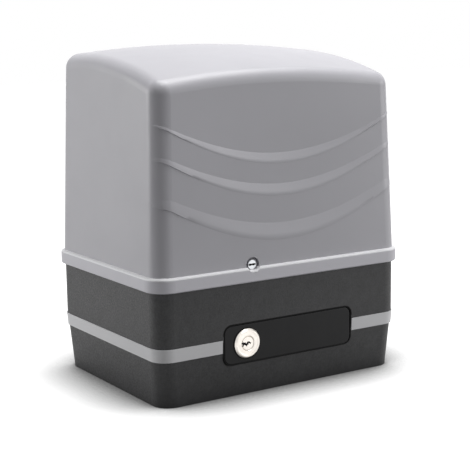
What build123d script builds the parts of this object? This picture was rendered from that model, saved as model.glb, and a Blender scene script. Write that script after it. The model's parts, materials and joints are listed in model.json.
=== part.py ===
"""Sliding gate motor: moulded cover, base with gear space, release lever, worm drive and pinion.

Millimetres. X runs right along the front, Y from front to back, Z up.
The origin is the centre of the base's bottom face.
"""
import os
from math import asin, cos, pi, radians, sin, sqrt, tan

from build123d import *

os.makedirs("parts", exist_ok=True)

# Outline: every plan section is a rounded rectangle set in from the rim by an inset
RIM_W = 250.0
RIM_D = 184.3
RIM_R = 18.0
RIM_H = 10.7
BASE_H = 94.6
BASE_TOP_INSET = 3.6
BASE_MID_INSET = 4.6
BASE_FOOT_INSET = 7.4
BASE_WALL = 4.0
FLOOR = 5.0
LOW_CAVITY_INSET = 11.6

# Accent band let into the base
BAND_Z0 = 38.4
BAND_Z1 = 49.2
BAND_TOP_INSET = 3.1
BAND_LOW_INSET = 3.7
GROOVE_INSET = 5.6
BAND_GAP = 2.0
BAND_REAR_HALF = 70.0

# Cover: drafted body with a doubly curved roof over a rim
COVER_INSET = 3.1
COVER_WALL = 3.2
COVER_DRAFT = 2.0
COVER_R = 14.7
COVER_TOP_R = 13.6
LIP_H = 6.0
LIP_INSET = 5.2
SKIRT_INSET = 4.0
RIM_FILLET = 1.4
RIM_CHAMFER = 0.8
ROOF_FILLET = 12.5
ROOF_RISE = 179.0
ROOF_RADIUS = 430.0
ROOF_ARCH_RADIUS = 900.0
ROOF_CREST_Y = 50.0
ROOF_SPARE = 16.0

# Wave ledges: height above the rim of the crisp lower edge and of the soft upper edge at the centre
# line, and how far each curve has risen at the sides
LEDGE_DEPTH = 2.1
WAVE_HALF = 115.0
WAVES = (
    (83.5, 91.9, 36.0, 29.0),
    (57.3, 66.9, 36.0, 30.0),
    (21.3, 35.1, 36.5, 31.0),
)
WAVE_QUARTER = 0.27
LEDGE_STEPS = ((-1.0, -0.2), (0.0, 0.0), (0.6, 0.3), (1.0, 1.0))

# Cover screws in slotted tabs of the deck
SCREW_X = -33.0
SCREW_RISE = 3.1
SCREW_R = 2.0
SCREW_HOLE_GAP = 0.3
SCREW_HEAD_R = 4.0
SCREW_HEAD_H = 2.4
SCREW_SLOT = 0.9
RECESS_R = 6.2
RECESS_DEPTH = 3.2
REAR_RECESS_DEPTH = 1.2
TAB_W = 20.0
TAB_T = 3.0
TAB_GAP = 0.4
TAB_RISE = 7.0
TAB_SLOT_GAP = 0.7
NUT_T = 4.0
NUT_R = 6.0
SCREW_END = 1.0

# Deck over the gear space, foundation bolts and cable entry
DECK_DROP = 6.6
DECK_T = 3.5
DECK_GAP = 0.5
POST_R = 10.0
POST_INSET_X = 30.0
POST_INSET_Y = 32.15
BOLT_R = 5.5
BOLT_DECK_GAP = 1.5
DECK_BOSS_INSET_X = 35.0
DECK_BOSS_INSET_Y = 17.15
DECK_BOSS_R = 5.0
BOSS_HOLE_R = 1.6
BOSS_HOLE_DEPTH = 12.0
DECK_SCREW_HEAD_R = 3.6
DECK_SCREW_HEAD_H = 2.4
CABLE_X = 40.0
CABLE_Y = -32.0
CABLE_R = 12.5

# Release lever, lock and hinge
PANEL_X0 = -60.6
PANEL_X1 = 67.4
PANEL_Z0 = 27.8
PANEL_Z1 = 59.8
PANEL_T = 8.8
PANEL_INSET = 3.75
PANEL_R = 6.5
PANEL_GAP = 1.0
PANEL_END_GAP = 1.7
PANEL_BACK_CHAMFER = 2.0
PANEL_EDGE_FILLET = 0.8
POCKET_DEPTH = 21.4
HINGE_X = 52.0
HINGE_DEPTH = 5.0
PIN_R = 2.5
PIN_FIT = 0.05
PIN_SEAT = 2.6
CAM_LOW_R = 11.0
CAM_RISE = 5.0
CAM_H = 20.0
CAM_STEPS = 8
LOCK_X = -39.0
LOCK_R = 12.25
LOCK_CHAMFER = 1.0
BARREL_R = 9.0
BARREL_END = 3.5
LOCK_NUT_R = 12.5
LOCK_NUT_T = 3.0
PLUG_R = 6.0
PLUG_RING = 0.5
PLUG_DROP = 0.3
LOCK_PROUD = 1.6
KEYWAY_DEPTH = 3.0
KEYWAY_SLOT = 1.3
KEYWAY_STEP = 0.5
TONGUE_REACH = 19.5
TONGUE_W = 7.0
TONGUE_T = 2.5
TONGUE_DEPTH = 15.9
TONGUE_FILLET = 2.0
KEEPER_GAP = 1.0
KEEPER_SHORT = 4.0

# Release plunger and the fork that draws the dog out of the wheel
PLUNGER_R = 4.0
PLUNGER_GAP = 0.5
PLUNGER_END = 6.0
BUSH_R = 7.0
BUSH_FLANGE_R = 9.0
BUSH_LEN = 8.0
FORK_T = 4.0
FORK_PLAY = 0.5
FORK_RING = 6.0
FORK_ROOT_X = 16.0
FORK_ARM_W = 14.0
FORK_EYE_R = 8.0

# Drive: shaft along Y, worm upright beside the wheel
SHAFT_R = 10.0
SHAFT_BORE_GAP = 3.0
SHAFT_CHAMFER = 1.0
SHAFT_DROP = 36.0
SHAFT_FRONT = 4.0
SHAFT_REAR = 2.0
KEY_W = 6.0
KEY_H = 6.0
KEY_SIDE = 2.0
PINION_MODULE = 4.0
PINION_TEETH = 17
PINION_GAP = 5.45
PINION_W = 28.0
PINION_DISH_R = 24.0
PINION_HUB_R = 15.0
PINION_DISH = 3.0
WASHER_R = 14.0
WASHER_T = 3.0
BOLT_THREAD_R = 4.0
BOLT_DEPTH = 14.0
BOLT_HEAD_R = 7.5
BOLT_HEAD_H = 5.0
WHEEL_MODULE = 2.0
WHEEL_TEETH = 32
WHEEL_W = 16.0
WHEEL_TO_REAR = 46.0
WHEEL_DISH_R = 26.0
WHEEL_HUB_R = 15.0
WHEEL_DISH = 4.0
WHEEL_GAP = 2.0
WORM_PITCH_R = 12.5
WORM_LEN = 34.0
WORM_SHAFT_R = 6.0
THREAD_TURNS = 4
THREAD_SUNK = 0.6
BEARING_R = 21.0
BEARING_W = 12.0
BEARING_WALL = 6.0
BEARING_STOP = 5.0
BEARING_GROOVE = 1.2
REAR_BEARING_INSET = 30.55
LOWER_BEARING_R = 16.0
LOWER_BEARING_H = 10.0
LOWER_SEAT_R = 20.0
LOWER_SEAT_RISE = 3.0
UPPER_BEARING_R = 15.0
UPPER_BEARING_H = 6.0
SEAL_R = 18.0
SEAL_W = 7.0
SEAL_INSET = 1.0
SEAL_LIP_R = 15.0
SEAL_LIP = 1.5
DOG_R = 21.0
DOG_LEN = 15.0
DOG_GAP = 1.0
DOG_CLEAR = 0.4
DOG_GROOVE_INSET = 9.0
DOG_GROOVE_DEPTH = 4.0
JAWS = 4
JAW_H = 4.0
JAW_IN_R = 13.0
JAW_OUT_R = 19.0
JAW_SHARE = 0.44
JAW_POCKET_SHARE = 0.5
SPRING_R = 12.2
SPRING_WIRE = 1.0
SPRING_TURNS = 4
SPRING_PITCH = 2.3
SPRING_SEAT = 2.0
SPRING_POCKET = 7.0
FIT = 0.05

# Motor
MOTOR_R = 40.0
MOTOR_WALL = 3.0
MOTOR_H = 100.0
FLANGE_T = 7.5
FLANGE_STEP = 2.0
END_CAP_H = 10.0
END_CAP_CHAMFER = 3.0
MOTOR_SCREW_X = 30.0
MOTOR_SCREW_R = 4.0
MOTOR_SCREW_H = 3.0
MAGNET_Z = 10.0
MAGNET_H = 70.0
MAGNET_T = 6.0
MAGNET_GAP = 12.0
ROTOR_Z = 15.0
ROTOR_H = 60.0
ROTOR_R = 27.0
COMMUTATOR_Z = 78.0
COMMUTATOR_H = 14.0
COMMUTATOR_R = 13.0

# Electrical
BATTERY_SIDE = 5.0
BATTERY_W = 65.0
BATTERY_END_GAP = 4.0
BATTERY_H = 94.0
BATTERY_R = 3.0
BATTERY_EDGE = 2.0
TERMINAL_W = 6.0
TERMINAL_T = 2.0
TERMINAL_H = 8.0
TERMINAL_SIDE = 12.0
TERMINAL_END = 20.0
STRAP_Y = -34.0
STRAP_W = 20.0
STRAP_T = 1.5
STRAP_FOOT = 10.0
BOARD_H = 80.0
BOARD_T = 1.6
BOARD_RISE = 5.5
BOARD_SIDE = 3.5
BOARD_GAP = 8.0
BRACKET_T = 2.0
BRACKET_FOOT = 6.4
BRACKET_FOOT_END = 20.0
PART_GAP = 2.0
RELAYS = 3
RELAY_W = 18.0
RELAY_D = 12.0
RELAY_H = 16.0
RELAY_PITCH = 24.0
RELAY_SIDE = 14.0
RELAY_Z = 30.0
TERMINALS = 2
BLOCK_W = 24.0
BLOCK_D = 10.0
BLOCK_H = 12.0
BLOCK_PITCH = 26.0
BLOCK_SIDE = 4.0
BLOCK_Z = 2.0
WIRE_HOLES = 4
WIRE_R = 1.6
TRAFO_X = -49.5
TRAFO_W = 57.0
TRAFO_D = 23.0
TRAFO_H = 48.0
TRAFO_CORE = 10.0
TRAFO_GAP = 6.9
WINDING_PROUD = 4.0
SENSOR_X = 60.0
SENSOR_W = 24.0
SENSOR_D = 14.0
SENSOR_H = 24.0
GROMMET_WALL = 6.0
GROMMET_GAP = 1.0
GROMMET_H = 6.0

# Values worked out from the sizes above
LEDGES = len(WAVES)
SLOPE = tan(radians(COVER_DRAFT))
RIM_TOP = BASE_H + RIM_H
ROOF_TOP = RIM_TOP + ROOF_RISE
COVER_TOP_Z = ROOF_TOP + ROOF_SPARE
COVER_FRONT_Y = -RIM_D / 2 + COVER_INSET
INNER_FRONT_Y = COVER_FRONT_Y + LEDGES * LEDGE_DEPTH + COVER_WALL
REAR_WALL_Y = RIM_D / 2 - BASE_TOP_INSET
REAR_INNER_Y = REAR_WALL_Y - BASE_WALL
DECK_Z = BASE_H - DECK_DROP
DECK_TOP = DECK_Z + DECK_T
DECK_INSET = BASE_TOP_INSET + BASE_WALL + DECK_GAP
CORNERS = [(sx, sy) for sx in (-1, 1) for sy in (-1, 1)]
DECK_BOSSES = [(sx * (RIM_W / 2 - DECK_BOSS_INSET_X), sy * (RIM_D / 2 - DECK_BOSS_INSET_Y))
               for sx, sy in CORNERS]
POSTS = [(sx * (RIM_W / 2 - POST_INSET_X), sy * (RIM_D / 2 - POST_INSET_Y)) for sx, sy in CORNERS]
SCREW_Z = RIM_TOP + SCREW_RISE
FRONT_SEAT_Y = COVER_FRONT_Y + RECESS_DEPTH
REAR_SEAT_Y = -COVER_FRONT_Y - REAR_RECESS_DEPTH
FRONT_TAB_Y1 = INNER_FRONT_Y + TAB_GAP + TAB_T
REAR_TAB_Y0 = REAR_INNER_Y - TAB_GAP - TAB_T
FRONT_SCREW_Y1 = FRONT_TAB_Y1 + NUT_T + SCREW_END
LOCK_Z = (PANEL_Z0 + PANEL_Z1) / 2
PANEL_Y = -RIM_D / 2 + PANEL_INSET
PANEL_BACK_Y = PANEL_Y + PANEL_T
HINGE_Y = PANEL_Y + HINGE_DEPTH
POCKET_BACK_Y = PANEL_Y + POCKET_DEPTH
BARREL_Y1 = PANEL_BACK_Y + BARREL_END
TONGUE_Y1 = PANEL_Y + TONGUE_DEPTH
TONGUE_Y0 = TONGUE_Y1 - TONGUE_T
SHAFT_Z = DECK_Z - SHAFT_DROP
WHEEL_R = WHEEL_MODULE * WHEEL_TEETH / 2
REAR_BEARING_Y0 = REAR_WALL_Y - REAR_BEARING_INSET
WHEEL_Y0 = REAR_BEARING_Y0 - WHEEL_TO_REAR
WHEEL_Y1 = WHEEL_Y0 + WHEEL_W
WHEEL_Y = WHEEL_Y0 + WHEEL_W / 2
FRONT_BEARING_Y0 = WHEEL_Y0 - WHEEL_GAP - BEARING_W
SHAFT_Y0 = FRONT_BEARING_Y0 - SHAFT_FRONT
PINION_Y0 = REAR_WALL_Y + PINION_GAP
PINION_Y1 = PINION_Y0 + PINION_W
SHAFT_Y1 = PINION_Y1 + SHAFT_REAR
WORM_X = -(WHEEL_R + WORM_PITCH_R)
WORM_LEAD = pi * WHEEL_MODULE
WORM_ROOT_R = WORM_PITCH_R - 1.3 * WHEEL_MODULE
WORM_TIP_R = WORM_PITCH_R + 0.9 * WHEEL_MODULE
THREAD_ROOT_W = 0.46 * WORM_LEAD
THREAD_TIP_W = 0.2 * WORM_LEAD
DOG_Y0 = WHEEL_Y1 + DOG_GAP
DOG_Y1 = DOG_Y0 + DOG_LEN
DOG_GROOVE_Y0 = DOG_Y1 - DOG_GROOVE_INSET
DOG_GROOVE_R = DOG_R - DOG_GROOVE_DEPTH
FORK_Y0 = DOG_GROOVE_Y0 + FORK_PLAY
FORK_Y1 = FORK_Y0 + FORK_T
PLUNGER_Y0 = HINGE_Y + CAM_LOW_R + PLUNGER_GAP
MOTOR_Z0 = DECK_TOP + FLANGE_T
MOTOR_Z1 = MOTOR_Z0 + MOTOR_H
BATTERY_X1 = RIM_W / 2 - DECK_BOSS_INSET_X - BATTERY_SIDE
BATTERY_X0 = BATTERY_X1 - BATTERY_W
BATTERY_Y0 = INNER_FRONT_Y + BATTERY_END_GAP
BATTERY_TOP = DECK_TOP + BATTERY_H
BATTERY_Y1 = -COVER_FRONT_Y - COVER_WALL - (BATTERY_TOP - RIM_TOP) * SLOPE - BATTERY_END_GAP
BOARD_X0 = -(RIM_W / 2 - POST_INSET_X) + BOLT_R + BOARD_SIDE
BOARD_X1 = BATTERY_X0 - BOARD_GAP
BOARD_Y = FRONT_SCREW_Y1 + PART_GAP + RELAY_D
BOARD_BACK_Y = BOARD_Y + BOARD_T
BOARD_Z0 = DECK_TOP + BOARD_RISE
TRAFO_X0 = TRAFO_X - TRAFO_W / 2
TRAFO_Y0 = BOARD_BACK_Y + TRAFO_GAP


def at_y(y):
    """Upright plane at this y, seen from the front: its own axes are X and Z, and it faces -Y."""
    return Plane.XZ.offset(-y)


def outline(inset, radius=RIM_R - BASE_TOP_INSET):
    """Plan section set in from the rim."""
    with BuildSketch() as plan:
        RectangleRounded(RIM_W - 2 * inset, RIM_D - 2 * inset, radius)
    return plan.sketch


def slab(inset, z0, z1, radius=RIM_R - BASE_TOP_INSET, mode=Mode.ADD):
    extrude(outline(inset, radius).moved(Location((0, 0, z0))), amount=z1 - z0, mode=mode)


def rod_y(x, z, y0, y1, radius, bore=0.0, mode=Mode.ADD):
    """Cylinder or ring lying along Y."""
    with BuildSketch(at_y(y1)) as face:
        with Locations((x, z)):
            Circle(radius)
            if bore > 0:
                Circle(bore, mode=Mode.SUBTRACT)
    extrude(face.sketch, amount=y1 - y0, mode=mode)


def rod_z(x, y, z0, z1, radius, bore=0.0, mode=Mode.ADD):
    """Cylinder or ring standing along Z."""
    with BuildSketch(Plane.XY.offset(z0)) as face:
        with Locations((x, y)):
            Circle(radius)
            if bore > 0:
                Circle(bore, mode=Mode.SUBTRACT)
    extrude(face.sketch, amount=z1 - z0, mode=mode)


def block(x0, x1, y0, y1, z0, z1, mode=Mode.ADD, radius=0.0):
    with BuildSketch(Plane.XY.offset(z0)) as face:
        with Locations(((x0 + x1) / 2, (y0 + y1) / 2)):
            if radius > 0:
                RectangleRounded(x1 - x0, y1 - y0, radius)
            else:
                Rectangle(x1 - x0, y1 - y0)
    extrude(face.sketch, amount=z1 - z0, mode=mode)


def save(piece, name):
    piece.part.label = name
    export_step(piece.part, f"parts/{name}.step")


def panel_shape(gap, end_gap, y1, depth, mode=Mode.ADD):
    """Rounded panel seen from the front, grown by a gap, from y1 forward by depth."""
    with BuildSketch(at_y(y1)) as face:
        with Locations(((PANEL_X0 - gap + PANEL_X1 + end_gap) / 2, LOCK_Z)):
            RectangleRounded(PANEL_X1 - PANEL_X0 + gap + end_gap, PANEL_Z1 - PANEL_Z0 + 2 * gap,
                             PANEL_R + gap)
    extrude(face.sketch, amount=depth, mode=mode)


# Base housing: tub with tapered foot, band groove, lever pocket, bolt posts and bearing seats
UPPER_CAVITY_INSET = BASE_TOP_INSET + BASE_WALL
UPPER_CAVITY_Z = BAND_Z1 + BASE_WALL
PEDESTAL_X = BEARING_R + BEARING_WALL
PEDESTAL_TOP = SHAFT_Z + BEARING_R + BEARING_WALL - 1
POCKET_X0 = PANEL_X0 - PANEL_GAP
POCKET_X1 = PANEL_X1 + PANEL_END_GAP
POCKET_Z0 = PANEL_Z0 - PANEL_GAP
POCKET_Z1 = PANEL_Z1 + PANEL_GAP
POCKET_WALL_Y = PANEL_Y + 2.0
with BuildPart() as base_housing:
    loft([outline(BASE_FOOT_INSET), outline(BASE_MID_INSET).moved(Location((0, 0, BAND_Z0)))], ruled=True)
    slab(BASE_TOP_INSET, BAND_Z0, BASE_H)
    slab(LOW_CAVITY_INSET, FLOOR, UPPER_CAVITY_Z, RIM_R - LOW_CAVITY_INSET, Mode.SUBTRACT)
    slab(UPPER_CAVITY_INSET, UPPER_CAVITY_Z, BASE_H, RIM_R - UPPER_CAVITY_INSET, Mode.SUBTRACT)
    slab(LIP_INSET, BASE_H, BASE_H + LIP_H, RIM_R - LIP_INSET)
    slab(UPPER_CAVITY_INSET, BASE_H, BASE_H + LIP_H, RIM_R - UPPER_CAVITY_INSET, Mode.SUBTRACT)
    # Groove for the accent band, stopping beside the lever pocket and at the rear
    with BuildSketch(Plane.XY.offset(BAND_Z0)) as groove:
        Rectangle(2 * RIM_W, 2 * RIM_D)
        add(outline(GROOVE_INSET), mode=Mode.SUBTRACT)
        with Locations(((PANEL_X0 + PANEL_X1) / 2, -RIM_D)):
            Rectangle(PANEL_X1 - PANEL_X0 + 2 * BAND_GAP, RIM_D, mode=Mode.SUBTRACT)
        with Locations((0, RIM_D)):
            Rectangle(2 * BAND_REAR_HALF, RIM_D, mode=Mode.SUBTRACT)
    extrude(groove.sketch, amount=BAND_Z1 - BAND_Z0, mode=Mode.SUBTRACT)
    block(POCKET_X0 - BASE_WALL, POCKET_X1 + BASE_WALL, POCKET_WALL_Y, POCKET_BACK_Y + BASE_WALL,
          POCKET_Z0 - BASE_WALL, POCKET_Z1 + BASE_WALL)
    # Posts for the foundation bolts, bosses for the deck screws
    for x, y in POSTS:
        rod_z(x, y, 0, DECK_Z, POST_R)
    for x, y in DECK_BOSSES:
        rod_z(x, y, FLOOR, DECK_Z, DECK_BOSS_R)
    # Pedestal of the front bearing, boss of the rear bearing, seat of the worm's lower bearing
    block(-PEDESTAL_X, PEDESTAL_X, FRONT_BEARING_Y0 - BEARING_STOP, FRONT_BEARING_Y0 + BEARING_W, FLOOR - 1,
          PEDESTAL_TOP)
    block(-PEDESTAL_X, PEDESTAL_X, REAR_BEARING_Y0, REAR_WALL_Y - 1, FLOOR - 1, PEDESTAL_TOP)
    rod_z(WORM_X, WHEEL_Y, FLOOR - 1, FLOOR + LOWER_SEAT_RISE + LOWER_BEARING_H, LOWER_SEAT_R)
    rod_y(0, SHAFT_Z, FRONT_BEARING_Y0, FRONT_BEARING_Y0 + BEARING_W + 1, BEARING_R, mode=Mode.SUBTRACT)
    rod_y(0, SHAFT_Z, FRONT_BEARING_Y0 - BEARING_STOP - 1, FRONT_BEARING_Y0 + 1, SHAFT_R + SHAFT_BORE_GAP,
          mode=Mode.SUBTRACT)
    rod_y(0, SHAFT_Z, REAR_BEARING_Y0 - 1, REAR_BEARING_Y0 + BEARING_W, BEARING_R, mode=Mode.SUBTRACT)
    rod_y(0, SHAFT_Z, REAR_BEARING_Y0, REAR_WALL_Y + 1, SHAFT_R + SHAFT_BORE_GAP, mode=Mode.SUBTRACT)
    rod_y(0, SHAFT_Z, REAR_WALL_Y - SEAL_INSET - SEAL_W, REAR_WALL_Y + 1, SEAL_R, mode=Mode.SUBTRACT)
    rod_z(WORM_X, WHEEL_Y, FLOOR + LOWER_SEAT_RISE, FLOOR + LOWER_SEAT_RISE + LOWER_BEARING_H + 1,
          LOWER_BEARING_R, mode=Mode.SUBTRACT)
    # Pocket for the release lever, its hinge pin, the plunger bush and the tongue's keeper slot
    panel_shape(PANEL_GAP, PANEL_END_GAP, POCKET_BACK_Y, RIM_D / 2, Mode.SUBTRACT)
    rod_z(HINGE_X, HINGE_Y, POCKET_Z0 - PIN_SEAT, POCKET_Z1 + PIN_SEAT, PIN_R + PIN_FIT, mode=Mode.SUBTRACT)
    rod_y(HINGE_X, LOCK_Z, POCKET_BACK_Y - 1, POCKET_BACK_Y + BASE_WALL + 1, BUSH_R, mode=Mode.SUBTRACT)
    block(LOCK_X - TONGUE_W / 2 - KEEPER_GAP, LOCK_X + TONGUE_REACH - KEEPER_SHORT, TONGUE_Y0 - KEEPER_GAP,
          TONGUE_Y1 + KEEPER_GAP, LOCK_Z, POCKET_Z1 + BASE_WALL + 1, Mode.SUBTRACT)
    # Foundation bolt holes, deck screw holes and the cable entry
    for x, y in POSTS:
        rod_z(x, y, -1, DECK_Z + 1, BOLT_R, mode=Mode.SUBTRACT)
    for x, y in DECK_BOSSES:
        rod_z(x, y, DECK_Z - BOSS_HOLE_DEPTH, DECK_Z + 1, BOSS_HOLE_R, mode=Mode.SUBTRACT)
    rod_z(CABLE_X, CABLE_Y, -1, FLOOR + 1, CABLE_R, mode=Mode.SUBTRACT)
save(base_housing, "base_housing")


def accent_band(side):
    """Half of the band: side is -1 for the left piece and 1 for the right piece."""
    end = PANEL_X0 - BAND_GAP if side < 0 else PANEL_X1 + BAND_GAP
    with BuildPart() as band:
        loft([outline(BAND_LOW_INSET).moved(Location((0, 0, BAND_Z0))),
              outline(BAND_TOP_INSET).moved(Location((0, 0, BAND_Z1)))], ruled=True)
        slab(GROOVE_INSET, BAND_Z0, BAND_Z1, mode=Mode.SUBTRACT)
        with BuildSketch(Plane.XY.offset(BAND_Z0)) as keep:
            with Locations((end + side * RIM_W / 2, -RIM_D / 2)):
                Rectangle(RIM_W, RIM_D)
            with Locations((side * (BAND_REAR_HALF + RIM_W / 2), RIM_D / 2)):
                Rectangle(RIM_W, RIM_D)
        extrude(keep.sketch, amount=BAND_Z1 - BAND_Z0, mode=Mode.INTERSECT)
    return band


save(accent_band(-1), "accent_band_left")
save(accent_band(1), "accent_band_right")

# Deck with openings for the worm, the cables and the foundation bolts, and two slotted tabs
with BuildPart() as base_deck:
    slab(DECK_INSET, DECK_Z, DECK_TOP, RIM_R - DECK_INSET)
    for y0, y1 in ((FRONT_TAB_Y1 - TAB_T, FRONT_TAB_Y1), (REAR_TAB_Y0, REAR_TAB_Y0 + TAB_T)):
        block(SCREW_X - TAB_W / 2, SCREW_X + TAB_W / 2, y0, y1, DECK_TOP - 1, SCREW_Z + TAB_RISE)
        slot_half = SCREW_R + TAB_SLOT_GAP
        block(SCREW_X - slot_half, SCREW_X + slot_half, y0 - 1, y1 + 1, SCREW_Z - slot_half,
              SCREW_Z + TAB_RISE + 1, Mode.SUBTRACT)
    rod_z(WORM_X, WHEEL_Y, DECK_Z - 1, DECK_TOP + 1, UPPER_BEARING_R + 1.5, mode=Mode.SUBTRACT)
    rod_z(CABLE_X, CABLE_Y, DECK_Z - 1, DECK_TOP + 1, CABLE_R + 2, mode=Mode.SUBTRACT)
    for x, y in POSTS:
        rod_z(x, y, DECK_Z - 1, DECK_TOP + 1, BOLT_R + BOLT_DECK_GAP, mode=Mode.SUBTRACT)
    for x, y in DECK_BOSSES:
        rod_z(x, y, DECK_Z - 1, DECK_TOP + 1, BOSS_HOLE_R + TAB_SLOT_GAP, mode=Mode.SUBTRACT)
save(base_deck, "base_deck")

with BuildPart() as deck_screws:
    for x, y in DECK_BOSSES:
        rod_z(x, y, DECK_Z - BOSS_HOLE_DEPTH + 2, DECK_TOP, BOSS_HOLE_R)
        rod_z(x, y, DECK_TOP, DECK_TOP + DECK_SCREW_HEAD_H, DECK_SCREW_HEAD_R)
        with BuildSketch(Plane.XY.offset(DECK_TOP + DECK_SCREW_HEAD_H / 2)) as socket:
            with Locations((x, y)):
                RegularPolygon(BOSS_HOLE_R, 6)
        extrude(socket.sketch, amount=DECK_SCREW_HEAD_H, mode=Mode.SUBTRACT)
save(deck_screws, "deck_screws")

SEAL_STRIP_INSET = SKIRT_INSET + 0.3
SEAL_STRIP_H = 3.0
with BuildPart() as cover_seal:
    slab(SEAL_STRIP_INSET, BASE_H, BASE_H + SEAL_STRIP_H, RIM_R - SEAL_STRIP_INSET)
    slab(LIP_INSET, BASE_H, BASE_H + SEAL_STRIP_H, RIM_R - LIP_INSET, Mode.SUBTRACT)
save(cover_seal, "cover_seal")


def cover_section(z, grow, setback):
    """Plan section of the cover at a height: a rounded rectangle whose front is a shallow arc.

    The corners follow the draft, the middle of the front stands at the given setback,
    and grow moves the whole section out.
    """
    inset = COVER_INSET + (z - RIM_TOP) * SLOPE - grow
    share = (z - RIM_TOP) / (COVER_TOP_Z - RIM_TOP)
    radius = COVER_R + (COVER_TOP_R - COVER_R) * share + grow
    side = RIM_W / 2 - inset
    back = RIM_D / 2 - inset
    nook = radius * (1 - cos(pi / 4))
    mid_y = COVER_FRONT_Y - grow + setback
    with BuildSketch() as plan:
        with BuildLine():
            ThreePointArc((radius - side, -back), (0, mid_y), (side - radius, -back))
            ThreePointArc((side - radius, -back), (side - nook, nook - back), (side, radius - back))
            Line((side, radius - back), (side, back - radius))
            ThreePointArc((side, back - radius), (side - nook, back - nook), (side - radius, back))
            Line((side - radius, back), (radius - side, back))
            ThreePointArc((radius - side, back), (nook - side, back - nook), (-side, back - radius))
            Line((-side, back - radius), (-side, radius - back))
            ThreePointArc((-side, radius - back), (nook - side, nook - back), (radius - side, -back))
        make_face()
    return plan.sketch.moved(Location((0, 0, z)))


def roof(drop):
    """Doubly curved solid whose top is the roof, lowered by drop."""
    half = RIM_W / 2 + 10
    top = ROOF_RADIUS - drop
    arch = ROOF_ARCH_RADIUS - drop
    edge = top - arch + sqrt(arch**2 - half**2)
    axis_z = ROOF_TOP - ROOF_RADIUS
    with BuildPart() as solid:
        with BuildSketch(Plane(origin=(0, ROOF_CREST_Y, axis_z), x_dir=(1, 0, 0), z_dir=(0, -1, 0))):
            with BuildLine():
                Polyline((half, edge), (half, edge / 2), (-half, edge / 2), (-half, edge))
                ThreePointArc((-half, edge), (0, top), (half, edge))
            make_face()
        revolve(axis=Axis((0, ROOF_CREST_Y, axis_z), (1, 0, 0)))
    return solid.part


def terrace(index):
    """Slab of the front that one ledge tops: its face stands upright at the middle, and its ends
    meet the drafted corners."""
    ends = []
    for z in (RIM_TOP - 1, COVER_TOP_Z):
        inset = COVER_INSET + (z - RIM_TOP) * SLOPE
        share = (z - RIM_TOP) / (COVER_TOP_Z - RIM_TOP)
        end_x = RIM_W / 2 - inset - COVER_R - (COVER_TOP_R - COVER_R) * share
        end_y = inset - RIM_D / 2
        mid_y = COVER_FRONT_Y + (LEDGES - 1 - index) * LEDGE_DEPTH
        with BuildSketch() as plan:
            with BuildLine():
                ThreePointArc((-end_x, end_y), (0, mid_y), (end_x, end_y))
                Polyline((end_x, end_y), (end_x - TERRACE_TAPER, INNER_FRONT_Y + TERRACE_TAPER),
                         (TERRACE_TAPER - end_x, INNER_FRONT_Y + TERRACE_TAPER), (-end_x, end_y))
            make_face()
        ends.append(plan.sketch.moved(Location((0, 0, z))))
    with BuildPart() as slab_part:
        loft(ends, ruled=True)
        add(below_wave(index), mode=Mode.INTERSECT)
    return slab_part.part


def wave_curve(y, centre, rise):
    """Region of the upright plane at y below one wave curve, down to the rim."""
    bottom = -RIM_H
    half = WAVE_HALF
    wide = 1.3 * half
    shoulder = centre + 1.6 * rise
    with BuildSketch(at_y(y)) as region:
        with BuildLine():
            Spline((-half, centre + rise), (-half / 2, centre + WAVE_QUARTER * rise), (0, centre),
                   (half / 2, centre + WAVE_QUARTER * rise), (half, centre + rise))
            Polyline((half, centre + rise), (wide, shoulder), (wide, bottom), (-wide, bottom),
                     (-wide, shoulder), (-half, centre + rise))
        make_face()
    return region.sketch.moved(Location((0, 0, RIM_TOP)))


def below_wave(index):
    """Space below one ledge: the ledge scoops up and back from its crisp lower edge."""
    low, high, low_rise, high_rise = WAVES[index]
    front_y = COVER_FRONT_Y + (LEDGES - 1 - index) * LEDGE_DEPTH
    with BuildPart() as space:
        curves = []
        for share, lift in LEDGE_STEPS:
            y = front_y + share * LEDGE_DEPTH
            curves.append(wave_curve(y, low + lift * (high - low), low_rise + lift * (high_rise - low_rise)))
        loft(curves, ruled=True)
        extrude(wave_curve(front_y + LEDGE_DEPTH, high, high_rise), amount=-2 * TERRACE_TAPER)
    return space.part


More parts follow.
